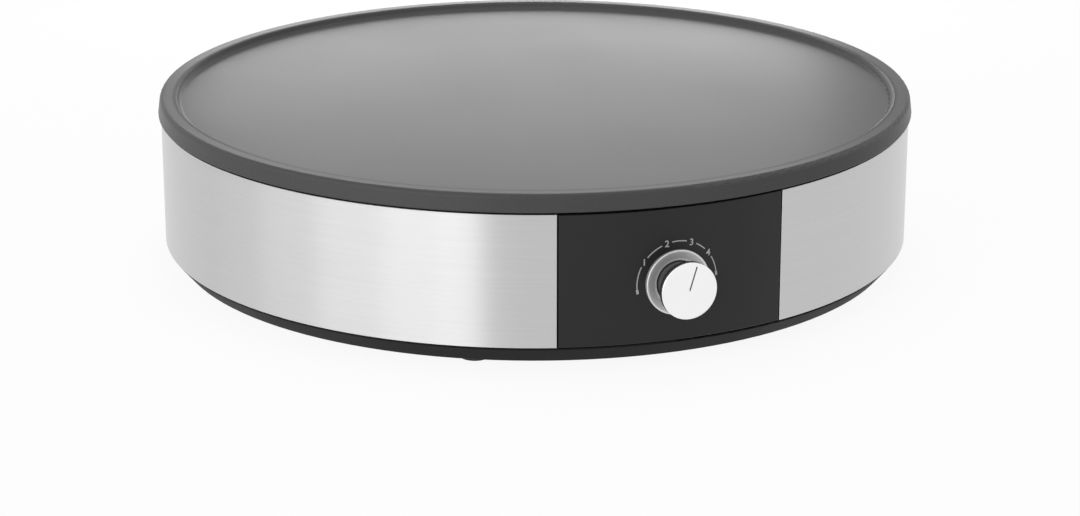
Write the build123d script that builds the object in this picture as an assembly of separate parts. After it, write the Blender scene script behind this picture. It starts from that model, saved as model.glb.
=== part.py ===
from build123d import *
import os
from math import cos, degrees, pi, radians, sin, tan

# Electric crepe maker: a round cast plate with a raised rim on a low drum. The drum is a black
# moulded floor, skirt and wall, with a brushed steel band round the wall and a black control
# panel at the front. The plate's screws pull the floor up against the skirt, and so clamp the
# skirt and the wall under the plate's rim.
# Sizes are in millimetres. +Z is up, the control panel faces -Y, and the origin is on the drum's
# axis at the level that the feet stand on. Angles are measured from the front towards +X.

# ------------------------------------------------------------------ driving sizes
# Heights of the drum, from the table up
foot_height = 5.0
skirt_height = 9.0            # black skirt below the band
wall_height = 68.5            # from the skirt's shoulder to the underside of the plate's rim
rim_height = 9.0              # side of the plate's rim

# Radii of the drum
plate_radius = 200.0
band_setback = 1.5            # the rim stands out this far past the band
base_setback = 9.5            # the skirt narrows to this far inside the rim at the bottom

# Gaps between pieces
slip = 0.2                    # between pieces that are dropped into each other
close = 0.05                  # round a screw, shaft or blade in its hole
low_shadow = 0.5              # dark line below the band
high_shadow = 1.2             # dark line between the band and the plate's rim
side_shadow = 0.6             # dark line at each side of the control panel

# Cast plate
rim_lean = 1.2                # the rim's side leans in by this much at the top
rim_width = 8.7               # flat top of the rim
recess_depth = 3.0            # the cooking surface lies this far below the rim
recess_slope = 1.6            # the inner wall of the recess leans in by this much
plate_thickness = 7.0
groove_width = 5.0
groove_depth = 4.5
rim_land = 6.0                # underside of the rim, inside the seal's groove
under_step = 2.0              # the underside steps down over this width
rim_low_round = 0.8
rim_top_round = 2.2
lip_round = 1.4
recess_round = 2.0
boss_drop = 14.0              # screw bosses hang this far below the plate
boss_radius = 7.0
boss_inset = 50.0             # the bosses' circle lies this far inside the rim
boss_count = 4
plate_screw_grip = 10.0       # length of screw in the boss
plate_screw_spare = 2.0       # the boss's hole goes this far past the screw

# Tubular heating element, in a ribbed groove under the plate
element_ring_radius = 120.0
element_radius = 3.25
element_rib_wall = 3.5
element_rib_drop = 3.2
element_sink = 0.5            # the element's centre lies this far below the plate
element_gap_angle = 14.0      # half of the ring's gap, at the front
element_bend = 9.0
element_leg = 11.0            # straight part of each leg, below its bend
pin_radius = 1.3
pin_length = 4.0
pin_grip = 4.0                # length of pin inside the element's leg
pin_sleeve_spare = 1.5        # the pin's sleeve is this much longer than its blade
clamp_angles = (90.0, 180.0, 270.0)
clamp_width = 9.0
clamp_thickness = 1.2
clamp_reach = 13.0            # from the element to the clamp's screw
small_boss_radius = 4.0

# Heat reflector under the plate
reflector_gap = 16.5          # between the reflector and the wall
reflector_sheet = 0.6
reflector_rim = 10.0
reflector_clearance = 1.2     # round the pieces that pass through the reflector
capillary_clearance = 4.0
standoff_height = 8.0
standoff_radius = 6.5

# Moulded floor, skirt and wall
shell_wall = 2.5
floor_inset = 6.5             # from the skirt's bottom edge to the floor's edge
flange_width = 3.0            # the skirt's flange lies this far over the floor's edge
flange_lift = 1.3             # thickness of the floor's edge under the flange
shoulder_setback = 0.3        # the skirt's shoulder lies this far inside the band's face
shoulder_round = 0.7
skirt_low_round = 1.6
skirt_lip_height = 3.0        # lip on the skirt that the wall drops over
skirt_lip_wall = 2.0
gland_plate_angle = 46.0      # the wall's rear section spans this angle
rib_height = 6.0              # ribs that carry the band
pillar_radius = 8.0
pillar_bore = 5.0
pillar_cap = 6.0              # solid top of each pillar, over the screw's head
window_margin = 4.0
vent_count = 24
vent_ring_radius = 88.0
vent_length = 34.0
vent_width = 4.0

# Rim seal between the wall and the plate
seal_height = 3.5
seal_lip = 2.0
seal_inset = 5.0              # the seal reaches this far inside the wall
seal_tongue = 2.5

# Brushed band
band_thickness = 0.8
band_fold_round = 0.5

# Control panel
panel_angle = 33.9            # the panel spans this angle at the front
panel_thickness = 3.2
panel_seat = 0.3              # between the panel and the wall behind it
panel_edge_round = 0.4
panel_screw_angle = 14.3
panel_screw_inset = 9.0       # from the panel's top and bottom edges
panel_boss_radius = 3.5

# Dial, on the drum's front
dial_rise = 30.0              # the dial's axis is this far above the skirt's shoulder
dial_pointer_angle = 17.0     # clockwise from straight up, at rest
bezel_radius = 16.3
bezel_bore = 11.0
bezel_sleeve_wall = 1.0
bezel_sleeve_reach = 1.4      # the sleeve stands out behind the panel by this much
bezel_seat_depth = 1.9
bezel_stand = 1.2             # the bezel's outer edge stands proud of the panel
bezel_dish = 0.9
bezel_edge_width = 0.9
bezel_edge_round = 0.4
knob_gap = 0.4                # between the knob's hub and the bezel
knob_reach = 15.0             # from the panel to the knob's face
knob_radius = 14.2
knob_sink = 1.6               # the hub starts this far inside the bezel
knob_hub_height = 3.0
knob_rim_height = 2.1         # straight rim between the flare and the cap
knob_waist = 0.7              # hollow of the flare
knob_rim_setback = 0.2        # the rim lies this far inside the cap's edge
knob_cap_height = 1.5
cap_spigot_radius = 5.0
cap_spigot_height = 1.5
cap_edge_round = 0.4
pointer_length = 12.6
pointer_width = 0.7
pointer_depth = 0.35
shaft_radius = 3.0
shaft_flat = 1.5              # the flat lies this far from the shaft's axis
shaft_chamfer = 0.4
knob_spring_thickness = 0.45
knob_spring_width = 3.6
knob_spring_inset = 1.0       # from the back of the hub to the spring
shaft_grip = 9.5              # length of shaft inside the knob
knob_pocket_wall = 2.0
knob_pocket_radius = 5.6

# Thermostat behind the panel
bracket_boss_length = 4.2
bracket_thickness = 1.2
bracket_width = 62.0
bracket_height = 24.0
bracket_boss_offset = 26.0
bracket_corner = 3.0
thermostat_screw_offset = 14.0
thermostat_flange = 1.5
thermostat_width = 36.0
thermostat_height = 24.0
thermostat_depth = 25.0
thermostat_corner = 3.0
thermostat_screw_depth = 6.0  # depth of the screws' holes
bush_radius = 5.0
bush_reach = 3.2
shaft_depth = 17.0            # the shaft goes this far into the thermostat
blade_offset = 9.0
blade_drop = 6.0
blade_width = 6.3
blade_thickness = 0.8
blade_length = 8.0
blade_root = 4.0
sleeve_length = 12.0
sleeve_width = 8.4
sleeve_height = 4.0

# Capillary sensor
bulb_radius = 3.0
bulb_length = 66.0
bulb_offset = 45.0            # to the right of the axis
bulb_start = 70.0             # the bulb's front end is this far in front of the axis
capillary_radius = 0.9
capillary_rise = 6.0          # the capillary leaves the thermostat this far above its axis
capillary_stub = 14.0         # straight part at each end of the capillary
capillary_climb = 51.0        # the capillary rises to the plate over this distance
bulb_clip_width = 8.0
bulb_clip_sheet = 0.8
bulb_clip_tail = 10.0

# Safety cut-out
cutout_offset = 45.0          # to the left of the axis
cutout_front = 54.0
cutout_radius = 8.0
cutout_cap_height = 3.0
cutout_body_height = 9.0
cutout_blade_gap = 5.0        # each blade is this far from the cut-out's axis
cutout_ear_offset = 12.5
cutout_ear_sheet = 0.8
cutout_ear_width = 8.0

# Indicator lamp behind the bezel
lamp_radius = 1.5
lamp_length = 4.6
lamp_tip_round = 1.0
board_width = 18.0
board_height = 11.0
board_thickness = 1.6
board_gap = 0.6               # between the thermostat's bracket and the board
board_post_rise = 2.5         # the posts are this far above the board's middle
board_post_offset = 6.5
board_post_radius = 2.2
lead_radius = 0.7
lead_offset = 5.0             # each lead leaves the board this far from its middle
lead_crimp_offset = 3.0       # from a blade's middle to the lead in the same crimp

# Mains entry at the rear
cord_rise = 17.0              # the gland's axis is this far above the skirt's shoulder
gland_bore = 4.0
gland_thread_radius = 6.9
gland_flange_radius = 10.5
gland_flange = 2.2
gland_nose_radius = 9.0
gland_tip_radius = 6.6
gland_reach = 13.4            # from the band to the gland's tip
gland_tail = 8.5              # threaded part inside the wall
gland_nut_flats = 20.0
gland_nut_height = 4.6
gland_nut_gap = 0.5           # between the nut and the wall
gland_flange_round = 0.6
gland_tip_round = 0.9
gland_pad_radius = 14.0

# Terminal block on the floor
block_inset = 44.5            # from the wall to the block's middle
block_screw_seat = 10.0       # the screws' heads bear this far above the block's bottom
block_width = 38.0
block_depth = 20.0
block_height = 14.0
block_pad = 4.0
block_corner = 1.5
pole_pitch = 12.0
pole_radius = 2.5
pole_setback = 1.0
pole_screw_sink = 1.0         # the poles' screws end this far below the block's top
pole_screw_slot = 0.6
wire_radius = 1.4
wire_insert = 4.0             # length of wire inside a pole
wire_lift = 9.0               # the wires run about this far above the floor
wire_sag = 3.0                # they rise and fall by this much
wire_run = 26.0               # straight part of a wire at a pole, sleeve or lug

# Earth point on the plate
earth_offset = 62.0           # right of the axis
earth_back = 58.0             # behind the axis
earth_boss_drop = 20.0
earth_boss_radius = 5.0
lug_radius = 4.5
lug_sheet = 0.8
lug_tail = 12.0

# Feet
foot_count = 6
foot_inset = 18.6             # from the skirt's bottom edge to the foot's middle
foot_radius = 8.5
foot_taper = 0.8
foot_edge_round = 0.7
foot_socket = 1.0             # depth of the foot's socket in the floor
foot_pocket_radius = 4.2
foot_seat = 2.6               # the screw's head bears at this height
foot_boss_radius = 4.5
foot_boss_height = 8.0
foot_screw_length = 9.5

# Screws
m4_radius = 2.0
m4_head_radius = 3.8
m4_head_height = 2.6
m3_radius = 1.5
m3_head_radius = 2.9
m3_head_height = 2.0
board_screw_radius = 1.0
board_screw_head_radius = 1.9
board_screw_head_height = 1.3
board_screw_length = 5.0
panel_screw_length = 4.7
panel_screw_head_radius = 4.7
panel_screw_stand = 0.15      # the flat head lies this far off the curved wall
thermostat_screw_head_radius = 2.6
thermostat_screw_head_height = 1.8
hole_spare = 0.5              # a blind hole is this much longer than its screw
bracket_screw_length = 5.0
small_screw_length = 5.0

# Rating plate, bare, under the floor
rating_width = 70.0
rating_depth = 38.0
rating_sheet = 0.4
rating_corner = 2.0

# ------------------------------------------------------------------ levels and radii
z_base = foot_height
z_floor = z_base + shell_wall
z_flange = z_base + flange_lift
base_radius = plate_radius - base_setback
floor_radius = base_radius - floor_inset
flange_radius = floor_radius - flange_width
boss_ring_radius = plate_radius - boss_inset
foot_ring_radius = base_radius - foot_inset
z_shoulder = z_base + skirt_height
z_band_low = z_shoulder + low_shadow
z_rim_low = z_shoulder + wall_height
z_band_top = z_rim_low - high_shadow
z_wall_top = z_rim_low - seal_height
z_rim_top = z_rim_low + rim_height
z_cook = z_rim_top - recess_depth
z_under = z_cook - plate_thickness
z_boss_low = z_under - boss_drop
z_reflector = z_boss_low - reflector_sheet
z_pillar_top = z_reflector - standoff_height
z_screw_seat = z_pillar_top - pillar_cap
z_element = z_under - element_sink
z_clamp = z_element - element_radius - close
z_leg_top = z_element - element_bend
z_leg_low = z_leg_top - element_leg
z_pin_low = z_leg_low - pin_length
z_pin_sleeve = z_pin_low - blade_length - close - pin_sleeve_spare
z_bulb = z_under - bulb_radius - close
z_cutout_low = z_under - cutout_cap_height - cutout_body_height
z_cutout_sleeve = z_cutout_low - sleeve_length
z_block = z_floor + block_pad
z_pole = z_block + block_height / 2
z_wires = z_floor + wire_lift
dial_height = z_shoulder + dial_rise
cord_height = z_shoulder + cord_rise

band_radius = plate_radius - band_setback
band_inner = band_radius - band_thickness
rib_radius = band_inner - slip
wall_radius = band_radius - panel_thickness - panel_seat
wall_inner = wall_radius - shell_wall
reflector_radius = wall_inner - reflector_gap
block_centre = wall_inner - block_inset
pole_bore = wire_radius + slip
shoulder_radius = band_radius - shoulder_setback
groove_outer = wall_radius - slip
groove_inner = groove_outer - groove_width
lip_radius = plate_radius - rim_lean - rim_width
cook_radius = lip_radius - recess_slope

panel_half_angle = panel_angle / 2
band_half_gap = panel_half_angle + degrees(side_shadow / band_radius)
fold_angle = degrees(band_thickness / band_radius)

# Distances from the drum's axis towards the front
panel_back = band_radius - panel_thickness
bezel_seat = band_radius - bezel_seat_depth
bracket_front = panel_back - bracket_boss_length
bracket_back = bracket_front - bracket_thickness
thermostat_back = bracket_back - thermostat_depth
sleeve_end = thermostat_back - sleeve_length
board_low = bracket_height / 2 + board_gap
board_post_height = board_low + board_height / 2 + board_post_rise
lamp_rise = (bezel_bore + bezel_sleeve_wall + slip + bezel_radius) / 2
knob_back = band_radius - knob_sink
knob_face = band_radius + knob_reach
cap_back = knob_face - knob_cap_height

MIDDLE = (Align.CENTER, Align.CENTER, Align.MIN)
FRONT = Plane((0, 0, dial_height), x_dir=(1, 0, 0), z_dir=(0, -1, 0))
REAR = Plane((0, 0, cord_height), x_dir=(-1, 0, 0), z_dir=(0, 1, 0))


# ------------------------------------------------------------------ shape helpers
def polar(radius, angle):
    """X and Y of a point at a radius and an angle from the front."""
    return radius * sin(radians(angle)), -radius * cos(radians(angle))


def upright(radius, angle):
    """Upright plane at a place on a circle round the drum's axis; its heights are true heights."""
    x, y = polar(radius, angle)
    return Plane((x, y, 0))


def outward(angle, height):
    """Plane on the drum's axis that faces outwards at an angle from the front."""
    x, y = polar(1, angle)
    return Plane((0, 0, height), x_dir=(-y, x, 0), z_dir=(x, y, 0))


def facing_down(x, y, height):
    """Plane that faces down, for the head of a screw driven from below."""
    return Plane((x, y, height), x_dir=(1, 0, 0), z_dir=(0, 0, -1))


def facing_back(x, y, reach):
    """Plane that faces the rear, for the head of a screw driven towards the panel."""
    return Plane(FRONT.from_local_coords((x, y, reach)), x_dir=(-1, 0, 0), z_dir=(0, 1, 0))


def shifted(plane, x, y):
    """The same plane with its origin moved along its own X and Y."""
    return Plane(plane.from_local_coords((x, y, 0)), x_dir=plane.x_dir, z_dir=plane.z_dir)


def rod(plane, radius, start, end):
    """Cylinder along a plane's normal, between two distances from the plane."""
    return plane * Pos(0, 0, start) * Cylinder(radius, end - start, align=MIDDLE)


def block(plane, width, height, start, end):
    """Box centred on a plane's normal, between two distances from the plane."""
    return plane * Pos(0, 0, start) * Box(width, height, end - start, align=MIDDLE)


def tube(outer, inner, low, high):
    """Ring round the drum's axis, between two heights."""
    return rod(Plane.XY, outer, low, high) - rod(Plane.XY, inner, low - 1, high + 1)


def turned(points, rounds=()):
    """Solid of revolution about Z. Points are (radius, height); rounds are (point, radius)."""
    face = make_face(Polyline(*points, close=True))
    for corner, radius in rounds:
        place = points[corner]
        face = fillet(face.vertices().sort_by_distance((place[0], place[1], 0))[0], radius)
    return revolve(Plane.XZ * face, Axis.Z)


def sector(half_angle, low, high):
    """Prism from the drum's axis that covers an angle each side of the front."""
    reach = 2 * plate_radius
    outline = Polyline((0, 0), polar(reach, -half_angle), polar(reach, half_angle), close=True)
    return extrude(Pos(0, 0, low) * make_face(outline), high - low, dir=(0, 0, 1))


def screw(seat, radius, head_radius, head_height, length):
    """Pan-head screw with a cross recess. Its head bears on the plane and faces its normal."""
    head = rod(seat, head_radius, 0, head_height)
    head = chamfer(head.faces().sort_by(Axis(seat.origin, seat.z_dir))[-1].edges(), head_height / 4)
    recess = block(seat, head_radius, radius / 2, head_height / 2, head_height)
    recess += block(seat, radius / 2, head_radius, head_height / 2, head_height)
    return head + rod(seat, radius, -length, 0) - recess


def group(shapes):
    """Separate solids that share one node."""
    return Compound([solid for shape in shapes for solid in shape.solids()])


def wire_path(points):
    """Straight runs joined by tangent arcs, each as large as its two runs allow."""
    spots = [Vector(*point) for point in points]
    bends = []
    for before, corner, after in zip(spots, spots[1:], spots[2:]):
        turn = (corner - before).get_angle(after - corner)
        run = min((corner - before).length, (after - corner).length)
        bends.append(0.45 * run / tan(radians(turn) / 2))
    return FilletPolyline(*spots, radius=bends), bends


def wire(name, radius, points):
    """Round wire along a route; its volume is printed against its section times its length."""
    path, bends = wire_path(points)
    start = Plane(path @ 0, z_dir=path % 0)
    solid = sweep(start * Circle(radius), path)
    share = solid.volume / (pi * radius ** 2 * path.length)
    print(f"{name}: {path.length:.0f} mm, tightest bend {min(bends):.1f} mm, volume share {share:.4f}")
    return solid


def boss_angles():
    """Angles of the plate's screw bosses and the floor's pillars."""
    return [360 / boss_count * (index + 0.5) for index in range(boss_count)]


def foot_angles():
    """Angles of the feet."""
    return [360 / foot_count * (index + 0.5) for index in range(foot_count)]


# ------------------------------------------------------------------ cast plate and heater
def clamp_spots():
    """Places of the element clamps' screws."""
    return [polar(element_ring_radius - clamp_reach, angle) for angle in clamp_angles]


def bulb_clip_spots():
    """Places along the bulb of its two clips."""
    return [-bulb_start + bulb_length * share for share in (0.25, 0.75)]


def cutout_ears():
    """Places of the cut-out's two screws."""
    return [(-cutout_offset, -cutout_front + side * cutout_ear_offset) for side in (-1, 1)]


def make_griddle_plate():
    step = groove_inner - rim_land
    body = turned(
        [(0, z_under), (step - under_step, z_under), (step, z_rim_low), (groove_inner, z_rim_low),
         (groove_inner, z_rim_low + groove_depth), (groove_outer, z_rim_low + groove_depth),
         (groove_outer, z_rim_low), (plate_radius, z_rim_low), (plate_radius - rim_lean, z_rim_top),
         (lip_radius, z_rim_top), (cook_radius, z_cook), (0, z_cook)],
        rounds=[(7, rim_low_round), (8, rim_top_round), (9, lip_round), (10, recess_round)])
    for angle in boss_angles():
        spot = upright(boss_ring_radius, angle)
        body += rod(spot, boss_radius, z_boss_low, z_under + 1)
        body -= rod(spot, m4_radius + close, z_boss_low - 1,
                    z_boss_low + plate_screw_grip + plate_screw_spare)
    half_rib = element_radius + slip + element_rib_wall
    body += tube(element_ring_radius + half_rib, element_ring_radius - half_rib,
                 z_under - element_rib_drop, z_under + 1)
    half_groove = element_radius + slip
    body -= tube(element_ring_radius + half_groove, element_ring_radius - half_groove,
                 z_under - element_rib_drop - 1, z_element)
    body -= Pos(0, 0, z_element) * Torus(element_ring_radius, half_groove)
    small_bosses = [(x, y, z_clamp) for x, y in clamp_spots()]
    small_bosses += [(x, y, z_under - cutout_cap_height) for x, y in cutout_ears()]
    small_bosses += [(bulb_offset + bulb_clip_tail, y, z_under - 2 * bulb_radius - close)
                     for y in bulb_clip_spots()]
    for x, y, low in small_bosses:
        body += rod(Plane((x, y, 0)), small_boss_radius, low, z_under + 1)
        body -= rod(Plane((x, y, 0)), m3_radius + close, low - 1, low + small_screw_length + hole_spare)
    earth = Plane((earth_offset, earth_back, 0))
    body += rod(earth, earth_boss_radius, z_under - earth_boss_drop, z_under + 1)
    body -= rod(earth, m4_radius + close, z_under - earth_boss_drop - 1, z_under - earth_boss_drop / 2)
    return body


def element_ends():
    """End of the element's ring on each side of its gap: place, and direction towards the gap."""
    ends = []
    for side in (-1, 1):
        angle = side * element_gap_angle
        x, y = polar(element_ring_radius, angle)
        ahead = Vector(-side * cos(radians(angle)), -side * sin(radians(angle)), 0)
        ends.append((Vector(x, y, z_element), ahead))
    return ends


def element_legs():
    """Upright plane of each leg, through its centre line."""
    spots = [end + ahead * element_bend for end, ahead in element_ends()]
    return [Plane((spot.X, spot.Y, 0)) for spot in spots]


def make_heating_element():
    end, ahead = element_ends()[1]
    section = Plane(end, z_dir=-ahead) * Circle(element_radius)
    body = revolve(section, Axis((0, 0, 0), (0, 0, 1)), 360 - 2 * element_gap_angle)
    for (end, ahead), leg in zip(element_ends(), element_legs()):
        down = Vector(0, 0, -1)
        turn = Axis((end + down * element_bend), ahead.cross(down))
        body += revolve(Plane(end, z_dir=ahead) * Circle(element_radius), turn, 90)
        body += rod(leg, element_radius, z_leg_low, z_leg_top)
        body -= rod(leg, pin_radius + close, z_leg_low - 1, z_leg_low + pin_grip)
    return body


def make_element_pins():
    pins = []
    for leg in element_legs():
        pin = rod(leg, pin_radius, z_pin_low, z_leg_low + pin_grip)
        pins.append(pin + block(leg, blade_width, blade_thickness, z_pin_low - blade_length, z_pin_low + 1))
    return group(pins)


def make_element_clamps():
    clamps = []
    for angle in clamp_angles:
        reach = clamp_reach + element_radius + small_boss_radius
        middle = element_ring_radius - clamp_reach / 2
        strap = block(upright(middle, 0), clamp_width, reach, z_clamp - clamp_thickness, z_clamp)
        hole = rod(upright(element_ring_radius - clamp_reach, 0), m3_radius + close, z_clamp - 5, z_clamp + 5)
        clamps.append(Rot(0, 0, angle) * (strap - hole))
    return group(clamps)


def make_clamp_screws():
    seat = z_clamp - clamp_thickness
    return group([screw(facing_down(x, y, seat), m3_radius, m3_head_radius, m3_head_height,
                        small_screw_length) for x, y in clamp_spots()])


def capillary_route():
    """Centre line of the capillary, from the thermostat's side to the bulb."""
    start_y = -(thermostat_back + thermostat_depth / 3)
    start_z = dial_height + capillary_rise
    side = thermostat_width / 2
    return [(side, start_y, start_z), (side + capillary_stub, start_y, start_z),
            (bulb_offset - 2, start_y + 0.46 * capillary_climb, start_z + 1),
            (bulb_offset, start_y + capillary_climb, z_bulb - 0.45 * capillary_climb),
            (bulb_offset, -(bulb_start + capillary_stub), z_bulb), (bulb_offset, -bulb_start, z_bulb)]


def make_heat_reflector():
    low, high = z_reflector, z_boss_low
    body = rod(Plane.XY, reflector_radius, low, high)
    body += tube(reflector_radius, reflector_radius - reflector_sheet, low, high + reflector_rim)
    holes = [(upright(boss_ring_radius, angle), m4_radius + slip) for angle in boss_angles()]
    holes += [(leg, element_radius + reflector_clearance) for leg in element_legs()]
    holes.append((Plane((-cutout_offset, -cutout_front, 0)), cutout_radius + reflector_clearance))
    holes.append((Plane((earth_offset, earth_back, 0)), earth_boss_radius + reflector_clearance))
    lower, upper = capillary_route()[3:5]
    share = (z_reflector - lower[2]) / (upper[2] - lower[2])
    crossing = lower[1] + share * (upper[1] - lower[1])
    holes.append((Plane((bulb_offset, crossing, 0)), capillary_radius + capillary_clearance))
    for place, radius in holes:
        body -= rod(place, radius, low - 1, high + 1)
    return body


def make_plate_standoffs():
    spots = [upright(boss_ring_radius, angle) for angle in boss_angles()]
    return group([rod(spot, standoff_radius, z_pillar_top, z_reflector)
                  - rod(spot, m4_radius + slip, z_pillar_top - 1, z_reflector + 1) for spot in spots])


def make_plate_screws():
    length = z_boss_low + plate_screw_grip - z_screw_seat
    spots = [polar(boss_ring_radius, angle) for angle in boss_angles()]
    return group([screw(facing_down(x, y, z_screw_seat), m4_radius, m4_head_radius, m4_head_height, length)
                  for x, y in spots])


def make_earth_lug():
    seat = z_under - earth_boss_drop
    place = Plane((earth_offset, earth_back, 0))
    lug = rod(place, lug_radius, seat - lug_sheet, seat)
    tail = Plane((earth_offset, earth_back + lug_tail / 2, 0))
    lug += block(tail, 2 * wire_radius, lug_tail, seat - lug_sheet, seat)
    return lug - rod(place, m4_radius + close, seat - 5, seat + 1)


def make_earth_screw():
    seat = facing_down(earth_offset, earth_back, z_under - earth_boss_drop - lug_sheet)
    return screw(seat, m4_radius, m4_head_radius, m4_head_height, earth_boss_drop / 2 - 1)


# ------------------------------------------------------------------ sensor and cut-out
def make_sensor_bulb():
    along = Plane((bulb_offset, 0, z_bulb), x_dir=(1, 0, 0), z_dir=(0, -1, 0))
    return rod(along, bulb_radius, bulb_start - bulb_length, bulb_start)


def make_bulb_clips():
    z_strap = z_under - 2 * bulb_radius - close
    clips = []
    for y in bulb_clip_spots():
        width = bulb_clip_tail + bulb_radius + small_boss_radius + 1
        middle = bulb_offset + (bulb_clip_tail + small_boss_radius - bulb_radius - 1) / 2
        strap = block(Plane((middle, y, 0)), width, bulb_clip_width, z_strap - bulb_clip_sheet - close,
                      z_strap - close)
        hook_x = bulb_offset - bulb_radius - bulb_clip_sheet / 2 - slip
        strap += block(Plane((hook_x, y, 0)), bulb_clip_sheet, bulb_clip_width,
                       z_strap - bulb_clip_sheet - close, z_strap + bulb_radius)
        hole = rod(Plane((bulb_offset + bulb_clip_tail, y, 0)), m3_radius + close, z_strap - 5, z_strap + 5)
        clips.append(strap - hole)
    return group(clips)


def make_bulb_clip_screws():
    seat = z_under - 2 * bulb_radius - 2 * close - bulb_clip_sheet
    return group([screw(facing_down(bulb_offset + bulb_clip_tail, y, seat), m3_radius, m3_head_radius,
                        m3_head_height, small_screw_length) for y in bulb_clip_spots()])


def cutout_blades():
    """Upright plane of each of the cut-out's blades."""
    return [Plane((-cutout_offset + side * cutout_blade_gap, -cutout_front, 0)) for side in (-1, 1)]


def make_thermal_cutout():
    place = Plane((-cutout_offset, -cutout_front, 0))
    z_ear = z_under - cutout_cap_height
    body = rod(place, cutout_radius - 1, z_ear - 1, z_under)
    body += rod(place, cutout_radius, z_cutout_low, z_ear - cutout_ear_sheet / 2)
    ears = block(place, cutout_ear_width, 2 * cutout_ear_offset + cutout_ear_width,
                 z_ear - cutout_ear_sheet, z_ear)
    body += ears
    for x, y in cutout_ears():
        body -= rod(Plane((x, y, 0)), m3_radius + close, z_ear - 5, z_ear + 1)
    for blade in cutout_blades():
        body -= block(blade, blade_thickness + 2 * close, blade_width + 2 * close,
                      z_cutout_low - 1, z_cutout_low + blade_root)
    return body


def make_cutout_blades():
    return group([block(blade, blade_thickness, blade_width, z_cutout_low - blade_length,
                        z_cutout_low + blade_root) for blade in cutout_blades()])


def make_cutout_screws():
    seat = z_under - cutout_cap_height - cutout_ear_sheet
    return group([screw(facing_down(x, y, seat), m3_radius, m3_head_radius, m3_head_height,
                        small_screw_length) for x, y in cutout_ears()])


# ------------------------------------------------------------------ housing, band and panel
def panel_screw_places():
    """Angle and height of each screw that holds the control panel."""
    heights = (z_band_low + panel_screw_inset, z_band_top - panel_screw_inset)
    return [(side * panel_screw_angle, height) for side in (-1, 1) for height in heights]


def add_front_window(body):
    """Open the wall behind the panel, between its screws."""
    boss_angle = degrees((panel_boss_radius + window_margin) / wall_inner)
    low = dial_height - bracket_height / 2 - window_margin
    high = dial_height + board_low + board_height + window_margin / 2
    window = sector(panel_screw_angle - boss_angle, low, high)
    body -= window & tube(wall_radius + 1, wall_inner - 1, low, high)
    for angle, height in panel_screw_places():
        body -= rod(outward(angle, height), panel_boss_radius + slip, wall_inner - 2, wall_radius + 2)
    return body


def add_vents(body):
    """Radial slots in the floor."""
    slot = extrude(Pos(0, -vent_ring_radius, z_base - 1) * SlotOverall(vent_length, vent_width, rotation=90),
                   shell_wall + 2, dir=(0, 0, 1))
    for index in range(vent_count):
        body -= Rot(0, 0, 360 / vent_count * (index + 0.5)) * slot
    return body


def make_base_skirt():
    """Ring that shows under the band. Its flange lies on the floor's edge, and the wall stands on it."""
    lip_outer = wall_inner - slip
    lip_inner = lip_outer - skirt_lip_wall
    z_lip = z_shoulder + skirt_lip_height
    return turned(
        [(floor_radius + slip, z_base), (base_radius, z_base), (shoulder_radius, z_shoulder),
         (lip_outer, z_shoulder), (lip_outer, z_lip), (lip_inner, z_lip), (lip_inner, z_shoulder),
         (base_radius - shell_wall, z_floor), (flange_radius, z_floor), (flange_radius, z_flange),
         (floor_radius + slip, z_flange)],
        rounds=[(1, skirt_low_round), (2, shoulder_round)])


def make_base_floor():
    """Floor with the pillars for the plate's screws, the foot bosses and the terminal block's pad."""
    raised_radius = flange_radius - slip
    body = turned([(0, z_base), (floor_radius, z_base), (floor_radius, z_flange),
                   (raised_radius, z_flange), (raised_radius, z_floor), (0, z_floor)])
    for angle in boss_angles():
        spot = upright(boss_ring_radius, angle)
        body += rod(spot, pillar_radius, z_base, z_pillar_top)
        body -= rod(spot, pillar_bore, z_base - 1, z_screw_seat)
        body -= rod(spot, m4_radius + slip, z_screw_seat - 1, z_pillar_top + 1)
    for angle in foot_angles():
        spot = upright(foot_ring_radius, angle)
        top = z_floor + foot_boss_height
        body += rod(spot, foot_boss_radius, z_base + foot_socket, top)
        body -= rod(spot, foot_radius + slip, z_base - 1, z_base + foot_socket)
        body -= rod(spot, m3_radius + close, z_base - 1, top - 1)
    pad_place = Plane((0, block_centre, 0))
    body += block(pad_place, block_width, block_depth, z_floor - 1, z_block)
    for x in block_screw_places():
        body -= rod(Plane((x, block_centre, 0)), m3_radius + close, z_floor - hole_spare, z_block + 1)
    body -= block(Plane.XY, rating_width + 2 * slip, rating_depth + 2 * slip, z_base - 1,
                  z_base + rating_sheet)
    return add_vents(body)


def wall_ring():
    """Wall all round, with the ribs that carry the band."""
    middle = wall_radius - shell_wall / 2
    ribs = tube(rib_radius, middle, z_shoulder, z_shoulder + rib_height)
    ribs += tube(rib_radius, middle, z_wall_top - rib_height, z_wall_top)
    return tube(wall_radius, wall_inner, z_shoulder, z_wall_top) + ribs


def rear_section(half_angle):
    return Rot(0, 0, 180) * sector(half_angle, z_shoulder - 1, z_wall_top + 1)


def make_housing_wall():
    """Wall but for its rear section, without ribs behind the panel."""
    clear_angle = band_half_gap + fold_angle + degrees(slip / band_radius)
    behind_panel = sector(clear_angle, z_shoulder - 1, z_wall_top + 1)
    body = wall_ring() - rear_section(gland_plate_angle / 2)
    body -= behind_panel & tube(rib_radius + 1, wall_radius, z_shoulder - 1, z_wall_top + 1)
    return add_front_window(body)


def make_gland_plate():
    """Rear section of the wall, with the pad and hole for the cord gland."""
    middle = wall_radius - shell_wall / 2
    body = wall_ring() & rear_section(gland_plate_angle / 2 - degrees(slip / wall_radius))
    body += rod(REAR, gland_pad_radius, middle, rib_radius + 1) & rod(Plane.XY, rib_radius, 0, z_rim_top)
    return body - rod(REAR, gland_thread_radius + slip, wall_inner - 5, rib_radius + 2)


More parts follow.
